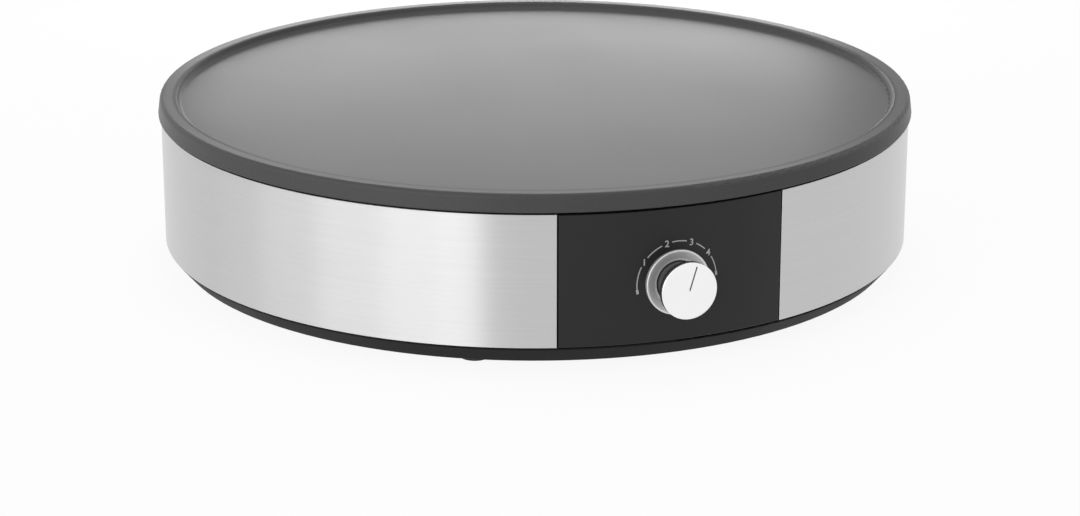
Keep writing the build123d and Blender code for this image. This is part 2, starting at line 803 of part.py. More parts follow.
def make_rating_plate():
    plate = block(Plane.XY, rating_width, rating_depth, z_base, z_base + rating_sheet)
    return fillet(plate.edges().filter_by(Axis.Z), rating_corner)


def make_rim_seal():
    inner = wall_inner - seal_inset
    outer = groove_outer - slip
    return turned([(inner, z_wall_top - seal_lip), (wall_inner - slip, z_wall_top - seal_lip),
                   (wall_inner - slip, z_wall_top), (outer, z_wall_top), (outer, z_rim_low + seal_tongue),
                   (groove_inner + slip, z_rim_low + seal_tongue), (groove_inner + slip, z_rim_low),
                   (inner, z_rim_low)])


def make_steel_band():
    low, high = z_band_low, z_band_top
    body = tube(band_radius, band_inner, low, high) - sector(band_half_gap, low - 1, high + 1)
    folds = tube(band_radius, panel_back, low, high)
    folds &= sector(band_half_gap + fold_angle, low, high)
    body += folds - sector(band_half_gap, low - 1, high + 1)
    x, y = polar(band_radius, band_half_gap)
    corners = [body.edges().filter_by(Axis.Z).sort_by_distance((side * x, y, (low + high) / 2))[0]
               for side in (-1, 1)]
    body = fillet(corners, band_fold_round)
    return body - rod(REAR, gland_thread_radius + slip, band_inner - 2, band_radius + 2)


def make_control_panel():
    body = tube(band_radius, panel_back, z_band_low, z_band_top)
    body &= sector(panel_half_angle, z_band_low, z_band_top)
    body = fillet(body.faces().sort_by(SortBy.AREA)[-1].edges(), panel_edge_round)
    core = rod(Plane.XY, band_radius - panel_thickness / 2, 0, z_rim_top)
    for side in (-1, 1):
        body += rod(shifted(FRONT, side * bracket_boss_offset, 0), panel_boss_radius,
                    bracket_front, band_radius) & core
        body += rod(shifted(FRONT, side * board_post_offset, board_post_height),
                    board_post_radius, bracket_front, band_radius) & core
    for angle, height in panel_screw_places():
        body += rod(outward(angle, height), panel_boss_radius, wall_inner, band_radius) & core
    body -= rod(FRONT, bezel_radius + slip, bezel_seat, band_radius + 5)
    body -= rod(FRONT, bezel_bore + bezel_sleeve_wall + slip, panel_back - 5, band_radius)
    body -= rod(shifted(FRONT, 0, lamp_rise), lamp_radius + close, panel_back - 5, bezel_seat)
    for side in (-1, 1):
        body -= rod(shifted(FRONT, side * bracket_boss_offset, 0), m3_radius + close,
                    bracket_front - 1, bracket_back + bracket_screw_length + hole_spare)
        body -= rod(shifted(FRONT, side * board_post_offset, board_post_height), board_screw_radius + close,
                    bracket_front - 1, bracket_front - board_thickness + board_screw_length + hole_spare)
    for angle, height in panel_screw_places():
        body -= rod(outward(angle, height), m3_radius + close, wall_inner - 1,
                    wall_inner - panel_screw_stand + panel_screw_length + hole_spare)
    return body


def inward(angle, height):
    """Plane on the inside of the wall that faces the drum's axis."""
    x, y = polar(1, angle)
    reach = wall_inner - panel_screw_stand
    return Plane((x * reach, y * reach, height), x_dir=(y, -x, 0), z_dir=(-x, -y, 0))


def make_panel_screws():
    return group([screw(inward(angle, height), m3_radius, panel_screw_head_radius, m3_head_height,
                        panel_screw_length) for angle, height in panel_screw_places()])


# ------------------------------------------------------------------ dial and thermostat
def make_bezel_ring():
    outer = band_radius + bezel_stand
    sleeve = bezel_bore + bezel_sleeve_wall
    return FRONT * turned(
        [(bezel_bore, panel_back - bezel_sleeve_reach), (sleeve, panel_back - bezel_sleeve_reach),
         (sleeve, bezel_seat), (bezel_radius, bezel_seat), (bezel_radius, outer),
         (bezel_radius - bezel_edge_width, outer), (sleeve, outer - bezel_dish),
         (bezel_bore, outer - bezel_dish)],
        rounds=[(4, bezel_edge_round)])


def make_knob():
    hub = bezel_bore - knob_gap
    flare_low = knob_back + knob_hub_height
    flare_high = cap_back - knob_rim_height
    rim = knob_radius - knob_rim_setback
    middle = ((hub + rim) / 2 - knob_waist, (flare_low + flare_high) / 2)
    outline = Polyline((0, knob_back), (hub, knob_back), (hub, flare_low)).edges()
    outline += ThreePointArc((hub, flare_low), middle, (rim, flare_high)).edges()
    outline += Polyline((rim, flare_high), (rim, cap_back), (0, cap_back), (0, knob_back)).edges()
    body = revolve(Plane.XZ * make_face(outline), Axis.Z)
    pocket = rod(Plane.XY, hub - knob_pocket_wall, knob_back - 1, knob_back + shaft_grip)
    body -= pocket - rod(Plane.XY, knob_pocket_radius, knob_back - 2, cap_back)
    bore = rod(Plane.XY, shaft_radius + close, knob_back - 1, knob_back + shaft_grip + slip)
    gap = knob_spring_thickness + 2 * close
    bore -= block(Plane((0, shaft_flat + gap + 5, 0)), 20, 10, knob_back - 2, cap_back)
    body -= bore
    body -= rod(Plane.XY, cap_spigot_radius + close, cap_back - cap_spigot_height - close, cap_back + 1)
    return FRONT * Rot(0, 0, -dial_pointer_angle) * body


def make_knob_cap():
    body = rod(Plane.XY, knob_radius, cap_back, knob_face)
    body = fillet(body.faces().sort_by(Axis.Z)[-1].edges(), cap_edge_round)
    body += rod(Plane.XY, cap_spigot_radius, cap_back - cap_spigot_height, cap_back + 0.5)
    groove = block(Plane((0, pointer_length / 2, 0)), pointer_width, pointer_length,
                   knob_face - pointer_depth, knob_face + 1)
    return FRONT * Rot(0, 0, -dial_pointer_angle) * (body - groove)


def make_thermostat_shaft():
    end = knob_back + shaft_grip
    body = rod(Plane.XY, shaft_radius, bracket_back - shaft_depth + slip, end)
    body = chamfer(body.faces().sort_by(Axis.Z)[-1].edges(), shaft_chamfer)
    body -= block(Plane((0, shaft_flat + 5, 0)), 20, 10, knob_back, end + 1)
    return FRONT * Rot(0, 0, -dial_pointer_angle) * body


def make_knob_spring():
    low = shaft_flat + close
    leaf = block(Plane((0, low + knob_spring_thickness / 2, 0)), knob_spring_width, knob_spring_thickness,
                 knob_back + knob_spring_inset, knob_back + shaft_grip - knob_spring_inset / 2)
    return FRONT * Rot(0, 0, -dial_pointer_angle) * leaf


def make_thermostat_bracket():
    body = block(FRONT, bracket_width, bracket_height, bracket_back, bracket_front)
    body = fillet(body.edges().filter_by(Axis.Y), bracket_corner)
    holes = [(0, bush_radius + slip)]
    holes += [(side * thermostat_screw_offset, m3_radius + close) for side in (-1, 1)]
    holes += [(side * bracket_boss_offset, m3_radius + close) for side in (-1, 1)]
    for x, radius in holes:
        body -= rod(shifted(FRONT, x, 0), radius, bracket_back - 1, bracket_front + 1)
    return body


def make_bracket_screws():
    seats = [facing_back(side * bracket_boss_offset, 0, bracket_back) for side in (-1, 1)]
    return group([screw(seat, m3_radius, m3_head_radius, m3_head_height, bracket_screw_length)
                  for seat in seats])


def thermostat_blades():
    """Plane of each of the thermostat's blades, facing the front."""
    return [shifted(FRONT, side * blade_offset, -blade_drop) for side in (-1, 1)]


def make_thermostat():
    flange_back = bracket_back - thermostat_flange
    body = block(FRONT, thermostat_width + 2, thermostat_height, flange_back, bracket_back)
    case = block(FRONT, thermostat_width, thermostat_height - 2, thermostat_back, flange_back)
    case = fillet(case.edges().filter_by(Axis.Y), thermostat_corner)
    body += case
    body += rod(FRONT, bush_radius, bracket_back - 1, bracket_back + bracket_thickness + bush_reach)
    body -= rod(FRONT, shaft_radius + close, bracket_back - shaft_depth, panel_back)
    for side in (-1, 1):
        body -= rod(shifted(FRONT, side * thermostat_screw_offset, 0), m3_radius + close,
                    bracket_back - thermostat_screw_depth, bracket_back + 1)
    for blade in thermostat_blades():
        body -= block(blade, blade_width + 2 * close, blade_thickness + 2 * close,
                      thermostat_back - 1, thermostat_back + blade_root)
    return body


def make_thermostat_blades():
    return group([block(blade, blade_width, blade_thickness, thermostat_back - blade_length,
                        thermostat_back + blade_root) for blade in thermostat_blades()])


def make_thermostat_screws():
    seats = [Plane(FRONT.from_local_coords((side * thermostat_screw_offset, 0, bracket_front)),
                   x_dir=(1, 0, 0), z_dir=(0, -1, 0)) for side in (-1, 1)]
    return group([screw(seat, m3_radius, thermostat_screw_head_radius, thermostat_screw_head_height,
                        small_screw_length) for seat in seats])


def sleeve(blade, across, start, end):
    """Insulated crimp sleeve over the end of a blade, which is wide along X if it lies across."""
    outside = (sleeve_width, sleeve_height)
    inside = (blade_width + 2 * close, blade_thickness + 2 * close)
    if not across:
        outside, inside = outside[::-1], inside[::-1]
    slot = block(blade, *inside, end - blade_length - close, end + 1)
    return block(blade, *outside, start, end) - slot


def make_crimp_sleeves():
    sleeves = [sleeve(blade, True, sleeve_end, thermostat_back) for blade in thermostat_blades()]
    sleeves += [sleeve(leg, True, z_pin_sleeve, z_pin_low) for leg in element_legs()]
    sleeves += [sleeve(blade, False, z_cutout_sleeve, z_cutout_low) for blade in cutout_blades()]
    return group(sleeves)


def make_lamp_board():
    place = shifted(FRONT, 0, board_low + board_height / 2)
    body = block(place, board_width, board_height, bracket_front - board_thickness, bracket_front)
    for side in (-1, 1):
        body -= rod(shifted(place, side * board_post_offset, board_post_rise), board_screw_radius + close,
                    bracket_front - 5, bracket_front + 1)
    return body


def make_lamp_board_screws():
    out = bracket_front - board_thickness
    seats = [facing_back(side * board_post_offset, board_post_height, out) for side in (-1, 1)]
    return group([screw(seat, board_screw_radius, board_screw_head_radius, board_screw_head_height,
                        board_screw_length) for seat in seats])


def make_indicator_lamp():
    place = shifted(FRONT, 0, lamp_rise)
    body = rod(place, lamp_radius, bracket_front, bracket_front + lamp_length)
    tip = body.faces().sort_by(Axis.Y)[0].edges()
    return fillet(tip, lamp_tip_round)


# ------------------------------------------------------------------ mains entry and wiring
def block_screw_places():
    """X of the two screws that hold the terminal block."""
    return [side * pole_pitch / 2 for side in (-1, 1)]


def pole_planes():
    """Plane of each of the terminal block's three poles, facing the rear."""
    return [Plane((x * pole_pitch, 0, z_pole), x_dir=(1, 0, 0), z_dir=(0, -1, 0)) for x in (-1, 0, 1)]


def make_terminal_block():
    place = Plane((0, block_centre, 0))
    body = block(place, block_width, block_depth, z_block, z_block + block_height)
    body = fillet(body.edges().filter_by(Axis.Z), block_corner)
    for pole in pole_planes():
        body -= rod(pole, pole_radius + close, -block_centre - block_depth, -block_centre + block_depth)
        body -= rod(Plane((pole.origin.X, block_centre, 0)), m3_radius + slip, z_pole,
                    z_block + block_height + 1)
    for x in block_screw_places():
        body -= rod(Plane((x, block_centre, 0)), m3_radius + close, z_block - 1, z_block + block_height + 1)
        body -= rod(Plane((x, block_centre, 0)), m3_head_radius + slip, z_block + block_screw_seat,
                    z_block + block_height + 1)
    return body


def make_terminal_poles():
    start = -block_centre - block_depth / 2 + pole_setback
    end = -block_centre + block_depth / 2 - pole_setback
    poles = []
    for pole in pole_planes():
        body = rod(pole, pole_radius, start, end) - rod(pole, pole_bore, start - 1, end + 1)
        poles.append(body - rod(Plane((pole.origin.X, block_centre, 0)), m3_radius + close, z_pole,
                                z_pole + pole_radius + 1))
    return group(poles)


def make_pole_screws():
    top = z_block + block_height - pole_screw_sink
    spots = [Plane((pole.origin.X, block_centre, 0)) for pole in pole_planes()]
    return group([rod(spot, m3_radius, z_pole + pole_bore, top)
                  - block(spot, 3 * m3_radius, pole_screw_slot, top - pole_screw_slot, top + 1)
                  for spot in spots])


def make_block_screws():
    length = block_screw_seat + block_pad
    seats = [Plane((x, block_centre, z_block + block_screw_seat)) for x in block_screw_places()]
    return group([screw(seat, m3_radius, m3_head_radius, m3_head_height, length) for seat in seats])


def make_cord_gland():
    flange_low = band_radius + slip
    flange_high = flange_low + gland_flange
    tip = band_radius + gland_reach
    tail = wall_inner - gland_tail
    return REAR * turned(
        [(gland_bore, tail), (gland_thread_radius, tail), (gland_thread_radius, flange_low),
         (gland_flange_radius, flange_low), (gland_flange_radius, flange_high),
         (gland_nose_radius, flange_high), (gland_tip_radius, tip), (gland_bore, tip)],
        rounds=[(4, gland_flange_round), (6, gland_tip_round)])


def make_gland_nut():
    end = wall_inner - gland_nut_gap
    outline = RegularPolygon(gland_nut_flats / 2, 6, major_radius=False)
    body = extrude(Plane.XY * Pos(0, 0, end - gland_nut_height) * outline, gland_nut_height, dir=(0, 0, 1))
    return REAR * (body - rod(Plane.XY, gland_thread_radius + close, 0, wall_radius))


def laid(x_share, y_share, rise):
    """Place of a wire over the floor, in shares of the bosses' circle and of the wires' sag."""
    return x_share * boss_ring_radius, y_share * boss_ring_radius, z_wires + rise * wire_sag


def wire_routes():
    """Route of each wire: from the terminal block, and between the pieces of the circuit."""
    pole_y = block_centre - block_depth / 2 + pole_setback + wire_insert
    run_y = pole_y - wire_run
    cut_in, cut_out = [(blade.origin.X, blade.origin.Y) for blade in cutout_blades()]
    pin_left, pin_right = [(leg.origin.X, leg.origin.Y) for leg in element_legs()]
    z_blade = dial_height - blade_drop
    tab_y = wire_run / 2 - sleeve_end
    lug_y = earth_back + lug_tail
    z_lug = z_under - earth_boss_drop - wire_radius - lug_sheet - close
    return {
        "wire_live": [(-pole_pitch, pole_y, z_pole), (-pole_pitch, run_y, z_pole), laid(-0.25, 0.61, 0),
                      laid(-0.44, 0.35, -1), laid(-0.51, 0.05, -0.5), laid(-0.45, -0.2, 1),
                      (*cut_in, z_cutout_sleeve - wire_run), (*cut_in, z_cutout_sleeve)],
        "wire_cutout": [(*cut_out, z_cutout_sleeve), (*cut_out, z_cutout_sleeve - 0.8 * wire_run),
                        laid(-0.29, -0.56, 2.5), laid(-0.23, -0.77, 3.5),
                        (-blade_offset, 1.5 * wire_run / 2 - sleeve_end, z_blade),
                        (-blade_offset, -sleeve_end, z_blade)],
        "wire_heater": [(blade_offset, -sleeve_end, z_blade), (blade_offset, tab_y, z_blade),
                        (blade_offset + 0.3 * wire_run, 2 * tab_y + sleeve_end, z_blade - 3 * wire_sag),
                        (*pin_right, z_blade - wire_sag), (*pin_right, z_pin_sleeve)],
        "wire_neutral": [(0, pole_y, z_pole), (0, run_y, z_pole), laid(0.05, 0.56, -1),
                         laid(-0.02, 0.29, -1), laid(0.04, 0.03, -1.3), laid(-0.03, -0.25, 0),
                         laid(-0.11, -0.52, 1), (*pin_left, z_blade - 2.2 * wire_sag),
                         (*pin_left, z_pin_sleeve)],
        "wire_earth": [(pole_pitch, pole_y, z_pole), (pole_pitch, run_y, z_pole), laid(0.17, 0.67, 1),
                       laid(0.31, 0.57, 5), (earth_offset, lug_y + wire_run / 2, z_lug - 2 * wire_sag),
                       (earth_offset, lug_y - lug_tail / 2, z_lug)],
    }


def lead_routes():
    """Route of the lamp's two leads, from the board to the thermostat's and the element's sleeves."""
    start_y = board_thickness - bracket_front
    start_z = dial_height + board_low + board_height / 4
    run_y = start_y + wire_run
    z_blade = dial_height - blade_drop
    end_x = blade_offset - lead_crimp_offset
    pin = element_legs()[0].origin
    side_x = pin.X + sleeve_width / 2
    z_side = z_pin_sleeve + sleeve_height
    return [
        [(lead_offset, start_y, start_z), (lead_offset, run_y, start_z),
         (end_x, 0.8 * wire_run - sleeve_end, start_z - wire_sag),
         (end_x, 0.85 * wire_run - sleeve_end, z_blade + 2 * wire_sag),
         (end_x, 0.4 * wire_run - sleeve_end, z_blade), (end_x, -sleeve_end, z_blade)],
        [(-lead_offset, start_y, start_z), (-lead_offset, run_y, start_z),
         (side_x, pin.Y - 0.7 * wire_run, z_side + 2 * wire_sag), (side_x + wire_run / 2, pin.Y, z_side),
         (side_x, pin.Y, z_side)],
    ]


# ------------------------------------------------------------------ feet
def make_foot(angle):
    top = z_base + foot_socket
    body = turned([(foot_pocket_radius, 0), (foot_radius - foot_taper, 0), (foot_radius, z_base),
                   (foot_radius, top), (m3_radius + close, top), (m3_radius + close, foot_seat),
                   (foot_pocket_radius, foot_seat)], rounds=[(1, foot_edge_round)])
    return upright(foot_ring_radius, angle) * body


def make_foot_screws():
    spots = [polar(foot_ring_radius, angle) for angle in foot_angles()]
    return group([screw(facing_down(x, y, foot_seat), m3_radius, m3_head_radius, m3_head_height,
                        foot_screw_length) for x, y in spots])


# ------------------------------------------------------------------ all pieces
pieces = {
    "griddle_plate": make_griddle_plate(),
    "heating_element": make_heating_element(),
    "element_pins": make_element_pins(),
    "element_clamps": make_element_clamps(),
    "element_clamp_screws": make_clamp_screws(),
    "heat_reflector": make_heat_reflector(),
    "plate_standoffs": make_plate_standoffs(),
    "plate_screws": make_plate_screws(),
    "earth_lug": make_earth_lug(),
    "earth_screw": make_earth_screw(),
    "sensor_bulb": make_sensor_bulb(),
    "sensor_capillary": wire("sensor_capillary", capillary_radius, capillary_route()),
    "bulb_clips": make_bulb_clips(),
    "bulb_clip_screws": make_bulb_clip_screws(),
    "thermal_cutout": make_thermal_cutout(),
    "cutout_blades": make_cutout_blades(),
    "cutout_screws": make_cutout_screws(),
    "base_floor": make_base_floor(),
    "base_skirt": make_base_skirt(),
    "housing_wall": make_housing_wall(),
    "gland_plate": make_gland_plate(),
    "rating_plate": make_rating_plate(),
    "rim_seal": make_rim_seal(),
    "steel_band": make_steel_band(),
    "control_panel": make_control_panel(),
    "panel_screws": make_panel_screws(),
    "bezel_ring": make_bezel_ring(),
    "knob": make_knob(),
    "knob_cap": make_knob_cap(),
    "knob_spring": make_knob_spring(),
    "thermostat_shaft": make_thermostat_shaft(),
    "thermostat": make_thermostat(),
    "thermostat_blades": make_thermostat_blades(),
    "thermostat_bracket": make_thermostat_bracket(),
    "thermostat_screws": make_thermostat_screws(),
    "bracket_screws": make_bracket_screws(),
    "crimp_sleeves": make_crimp_sleeves(),
    "lamp_board": make_lamp_board(),
    "lamp_board_screws": make_lamp_board_screws(),
    "indicator_lamp": make_indicator_lamp(),
    "terminal_block": make_terminal_block(),
    "terminal_poles": make_terminal_poles(),
    "pole_screws": make_pole_screws(),
    "block_screws": make_block_screws(),
    "cord_gland": make_cord_gland(),
    "gland_nut": make_gland_nut(),
    "foot_screws": make_foot_screws(),
}
for number, angle in enumerate(foot_angles(), start=1):
    pieces[f"foot_{number}"] = make_foot(angle)
pieces["lamp_leads"] = group([wire("lamp_leads", lead_radius, route) for route in lead_routes()])
for name, route in wire_routes().items():
    pieces[name] = wire(name, wire_radius, route)

os.makedirs("parts", exist_ok=True)
for name, shape in pieces.items():
    export_step(shape, f"parts/{name}.step")
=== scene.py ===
from math import cos, pi, radians, sin, sqrt, tan

import bmesh
import bpy
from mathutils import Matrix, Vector


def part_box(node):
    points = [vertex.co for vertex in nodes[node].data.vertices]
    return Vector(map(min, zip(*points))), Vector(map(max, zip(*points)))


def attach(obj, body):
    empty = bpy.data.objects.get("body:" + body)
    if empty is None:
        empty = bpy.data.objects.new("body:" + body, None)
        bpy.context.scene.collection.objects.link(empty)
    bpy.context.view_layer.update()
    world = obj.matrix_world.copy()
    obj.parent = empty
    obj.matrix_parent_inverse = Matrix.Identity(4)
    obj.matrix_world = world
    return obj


# Looks of the electric crepe maker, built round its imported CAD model. Lengths are in metres,
# +Z is up and the control panel faces -Y. Angles are degrees from the front towards +X, and
# those on the dial and its scale are degrees clockwise from straight up.

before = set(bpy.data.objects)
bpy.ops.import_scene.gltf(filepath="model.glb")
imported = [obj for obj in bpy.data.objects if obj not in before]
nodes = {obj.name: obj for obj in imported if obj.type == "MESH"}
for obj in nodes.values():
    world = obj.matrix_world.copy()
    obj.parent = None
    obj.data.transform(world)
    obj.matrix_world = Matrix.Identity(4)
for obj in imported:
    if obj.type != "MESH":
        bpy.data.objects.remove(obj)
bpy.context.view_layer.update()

MM = 0.001

# ------------------------------------------------------------------ sizes read from the imported model's parts
BAND_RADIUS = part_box("steel_band")[1][0]
DIAL_HEIGHT = (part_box("bezel_ring")[0][2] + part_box("bezel_ring")[1][2]) / 2

# ------------------------------------------------------------------ printed scale round the dial
SCALE_RADIUS = 20.6 * MM
SCALE_WIDTH = 0.55 * MM
SCALE_START = -96.0
SCALE_END = 82.0
SCALE_STEP = 2.0              # degrees between the line's cross-sections
SCALE_MARKS = {"1": -56.0, "2": -16.0, "3": 20.0, "4": 51.0}
SCALE_MARK_GAP = 7.5          # degrees of line left out on each side of a numeral
SCALE_STOP_LENGTH = 6.0       # degrees of thicker line at each end
SCALE_STOP_WIDTH = 2.2 * SCALE_WIDTH
PRINT_LIFT = 0.04 * MM        # the print lies this far over the panel's face
PRINT_DEPTH = 0.03 * MM

DIGIT_HEIGHT = 3.3 * MM
DIGIT_SHARE = 0.7             # a numeral's height as a share of the font's size
DIGIT_WEIGHT = 0.02 * DIGIT_HEIGHT   # the outline is widened by this much
DIGIT_CURVE_STEPS = 6

# ------------------------------------------------------------------ paint in the pointer's groove
POINTER_ANGLE = 17.0          # at rest
POINTER_START = 0.2 * MM
POINTER_END = 12.3 * MM
POINTER_WIDTH = 0.66 * MM
POINTER_SINK = 0.03 * MM      # the paint stops this far under the face
POINTER_DEPTH = 0.25 * MM

# ------------------------------------------------------------------ finishes
NOISE_LOW = 0.3               # most of a noise's values lie between these two
NOISE_HIGH = 0.7

CLOUD_SCALE = 24.0            # cloudiness of a moulded surface
GLOSS_SWING = 0.06            # a moulded surface's roughness varies this much each way

BRUSH_LINES = (6.0, 5200.0)   # scale of the band's brush lines round the drum and up it
BRUSH_STREAKS = (2.0, 700.0)  # scale of the broader streaks among them
BAND_LEVELS = (0.53, 0.60)
BAND_ROUGHNESS = (0.31, 0.37)
BAND_ANISOTROPY = 0.97
BAND_TURN = 0.25              # a quarter turn: blurred up and down, clear round the drum

RING_SCALE = 9000.0           # fineness of a turned face's rings
RING_GLOSS_SWING = 0.05
RING_ANISOTROPY = 0.4

PLATE_LEVELS = (0.056, 0.072)
PLATE_ROUGHNESS = (0.34, 0.38)
PLATE_IOR = 1.20

# The plate's coating is rougher on the step between the cooking face and the rim
EDGE_START = 187.2 * MM       # distance from the drum's axis
EDGE_END = 192.6 * MM
EDGE_FADE = 1.2 * MM
EDGE_ROUGHNESS = 0.16

# ------------------------------------------------------------------ camera
VIEW_AZIMUTH = -20.16         # the camera stands this far round from the front
CAMERA_DISTANCE = 1.5576      # from the drum's axis, level
CAMERA_HEIGHT = 0.509
CAMERA_PITCH = 18.279         # degrees down
CAMERA_YAW = 0.1              # degrees to the right of the drum's axis
CAMERA_LENS = 100.57
CAMERA_CLIP = 0.05
SENSOR_WIDTH = 36.0

# ------------------------------------------------------------------ floor and light
FLOOR_RADIUS = 6.0
FLOOR_SEGMENTS = 96
FLOOR_LEVEL = 0.82            # the floor's own grey, which carries the shadow
FLOOR_GLOW = 0.92             # share of plain white in the floor wherever it is seen

STUDIO_LEVEL = 0.66           # of the light that falls on the object from all sides

# Lamps: name, angle from the camera's side, distance, height, width, tall, power
LAMPS = [
    ("back_lamp", 181.7, 0.72, 0.187, 0.505, 0.133, 1.02),
    ("top_lamp", 150.0, 0.5, 1.6, 1.2, 1.2, 5.0),
]
LAMP_AIM = Vector((0, 0, 0.05))   # the lamps and cards face this point

# Cards of light left of the camera, which make the bright stretch of the steel band:
# angles from the camera's side at which each starts and ends, and its level
CARD_DISTANCE = 4.0
CARD_HEIGHT = 2.4
CARDS = [
    (-105, -88, 0.35), (-88, -67, 1.10), (-67, -46, 2.00), (-46, -30, 2.70), (-30, -15, 3.10),
]


def around(radius, angle, height):
    """Point at a radius, an angle from the front and a height."""
    return Vector((radius * sin(radians(angle)), -radius * cos(radians(angle)), height))


def make_camera():
    data = bpy.data.cameras.new("camera")
    data.lens = CAMERA_LENS
    data.sensor_width = SENSOR_WIDTH
    data.sensor_fit = "HORIZONTAL"
    data.clip_start = CAMERA_CLIP
    camera = bpy.data.objects.new("camera", data)
    bpy.context.scene.collection.objects.link(camera)
    camera.location = around(CAMERA_DISTANCE, VIEW_AZIMUTH, CAMERA_HEIGHT)
    turn = VIEW_AZIMUTH - CAMERA_YAW
    camera.rotation_euler = (radians(90 - CAMERA_PITCH), 0, radians(turn))
    bpy.context.scene.camera = camera


# ------------------------------------------------------------------ node graphs
class Graph:
    """Short way to write a node tree."""

    def __init__(self, tree):
        self.tree = tree
        tree.nodes.clear()

    def add(self, kind, settings=None, **inputs):
        """Add a node; inputs are numbers, colours or output sockets."""
        node = self.tree.nodes.new(kind)
        for key, value in (settings or {}).items():
            setattr(node, key, value)
        for key, value in inputs.items():
            self.put(node, key.replace("_", " "), value)
        return node

    def put(self, node, key, value):
        """Set or link an input, by its name or its number."""
        socket = node.inputs[key]
        if isinstance(value, bpy.types.NodeSocket):
            self.tree.links.new(value, socket)
        else:
            socket.default_value = value

    def put_all(self, node, *values):
        """Set or link the first inputs in their order; returns the first output."""
        for index, value in enumerate(values):
            self.put(node, index, value)
        return node.outputs[0]

    def math(self, operation, *values):
        node = self.add("ShaderNodeMath", {"operation": operation})
        return self.put_all(node, *values)

    def blend(self, first, second, share):
        """Weighted mean of two values; share is the weight of the first."""
        return self.math("ADD", self.math("MULTIPLY", first, share),
                         self.math("MULTIPLY", second, 1 - share))

    def hypotenuse(self, first, second):
        squares = self.math("ADD", self.math("POWER", first, 2.0), self.math("POWER", second, 2.0))
        return self.math("SQRT", squares)

    def spread(self, value, low, high, start=NOISE_LOW, end=NOISE_HIGH):
        """Map a value from start..end to low..high."""
        return self.put_all(self.add("ShaderNodeMapRange"), value, start, end, low, high)

    def ramp(self, value, dark, light, start=NOISE_LOW, end=NOISE_HIGH):
        """Colour that runs from dark at start to light at end."""
        node = self.add("ShaderNodeValToRGB")
        for point, place, tint in zip(node.color_ramp.elements, (start, end), (dark, light)):
            point.position = place
            point.color = tint
        return self.put_all(node, value)

    def noise(self, vector, scale, detail=3.0, roughness=0.55):
        node = self.add("ShaderNodeTexNoise", Scale=scale, Detail=detail, Roughness=roughness)
        self.put(node, "Vector", vector)
        return node.outputs["Fac"]

    def bump(self, height, distance, strength=1.0):
        node = self.add("ShaderNodeBump", Strength=strength, Distance=distance)
        self.put(node, "Height", height)
        return node.outputs["Normal"]

    def split(self, vector):
        """The X, Y and Z outputs of a vector."""
        node = self.add("ShaderNodeSeparateXYZ")
        self.put(node, 0, vector)
        return node.outputs

    def merge(self, *values):
        return self.put_all(self.add("ShaderNodeCombineXYZ"), *values)

    def tangent(self, axis):
        """Direction that runs round an axis."""
        return self.add("ShaderNodeTangent", {"direction_type": "RADIAL", "axis": axis}).outputs[0]

    def seen_plainly(self):
        """1 for rays from the camera, from a mirror and through glass, otherwise 0."""
        rays = self.add("ShaderNodeLightPath").outputs
        seen = self.math("MAXIMUM", rays["Is Camera Ray"], rays["Is Glossy Ray"])
        return self.math("MAXIMUM", seen, rays["Is Transmission Ray"])

    def mix(self, share, first, second):
        """Shader that is this share of the second."""
        return self.put_all(self.add("ShaderNodeMixShader"), share, first.outputs[0], second.outputs[0])

    def finish(self, shader, kind="ShaderNodeOutputMaterial"):
        """Link a shader's output to the tree's own output."""
        self.tree.links.new(shader, self.add(kind).inputs["Surface"])


def grey(level):
    return (level, level, level, 1.0)


def colour(red, green, blue):
    return (red, green, blue, 1.0)


def scaled(tint, factor):
    return tuple(channel * factor for channel in tint[:3]) + (1.0,)


# ------------------------------------------------------------------ finishes
def new_material(name):
    """Material with its graph, its shader and the place on the object."""
    material = bpy.data.materials.new(name)
    material.use_nodes = True
    graph = Graph(material.node_tree)
    shader = graph.add("ShaderNodeBsdfPrincipled")
    graph.finish(shader.outputs[0])
    place = graph.add("ShaderNodeTexCoord").outputs["Object"]
    return material, graph, shader, place


def moulded(name, tint, roughness, grain=900.0, depth=0.02 * MM, variation=0.12, **sockets):
    """Moulded, cast, coated or plated surface: cloudy colour, uneven gloss and a fine grain."""
    material, graph, shader, place = new_material(name)
    cloud = graph.noise(place, CLOUD_SCALE, detail=4.0)
    fine = graph.noise(place, grain, detail=2.0)
    gloss = graph.blend(cloud, fine, share=0.6)
    tone = graph.ramp(cloud, scaled(tint, 1 - variation), scaled(tint, 1 + variation))
    graph.put(shader, "Base Color", tone)
    graph.put(shader, "Roughness", graph.spread(gloss, roughness - GLOSS_SWING, roughness + GLOSS_SWING))
    graph.put(shader, "Normal", graph.bump(fine, depth))
    for key, value in sockets.items():
        graph.put(shader, key.replace("_", " "), value)
    return material


def round_and_up(graph, place, scales):
    """Coordinates that run round the drum's axis and along it, each at its own scale."""
    round_scale, up_scale = scales
    parts = graph.split(place)
    angle = graph.math("ARCTAN2", parts["X"], parts["Y"])
    return graph.merge(graph.math("MULTIPLY", angle, round_scale),
                       graph.math("MULTIPLY", parts["Z"], up_scale))


def brushed_band(name):
    """Stainless sheet brushed round the drum."""
    material, graph, shader, place = new_material(name)
    lines = graph.noise(round_and_up(graph, place, BRUSH_LINES), 1.0, detail=4.0, roughness=0.7)
    streaks = graph.noise(round_and_up(graph, place, BRUSH_STREAKS), 1.0)
    both = graph.blend(lines, streaks, share=0.65)
    graph.put(shader, "Base Color", graph.ramp(both, *map(grey, BAND_LEVELS)))
    graph.put(shader, "Roughness", graph.spread(both, *BAND_ROUGHNESS))
    graph.put(shader, "Normal", graph.bump(lines, 0.012 * MM, strength=0.5))
    graph.put(shader, "Metallic", 1.0)
    graph.put(shader, "Anisotropic", BAND_ANISOTROPY)
    graph.put(shader, "Anisotropic Rotation", BAND_TURN)
    graph.put(shader, "Tangent", graph.tangent("Z"))
    return material


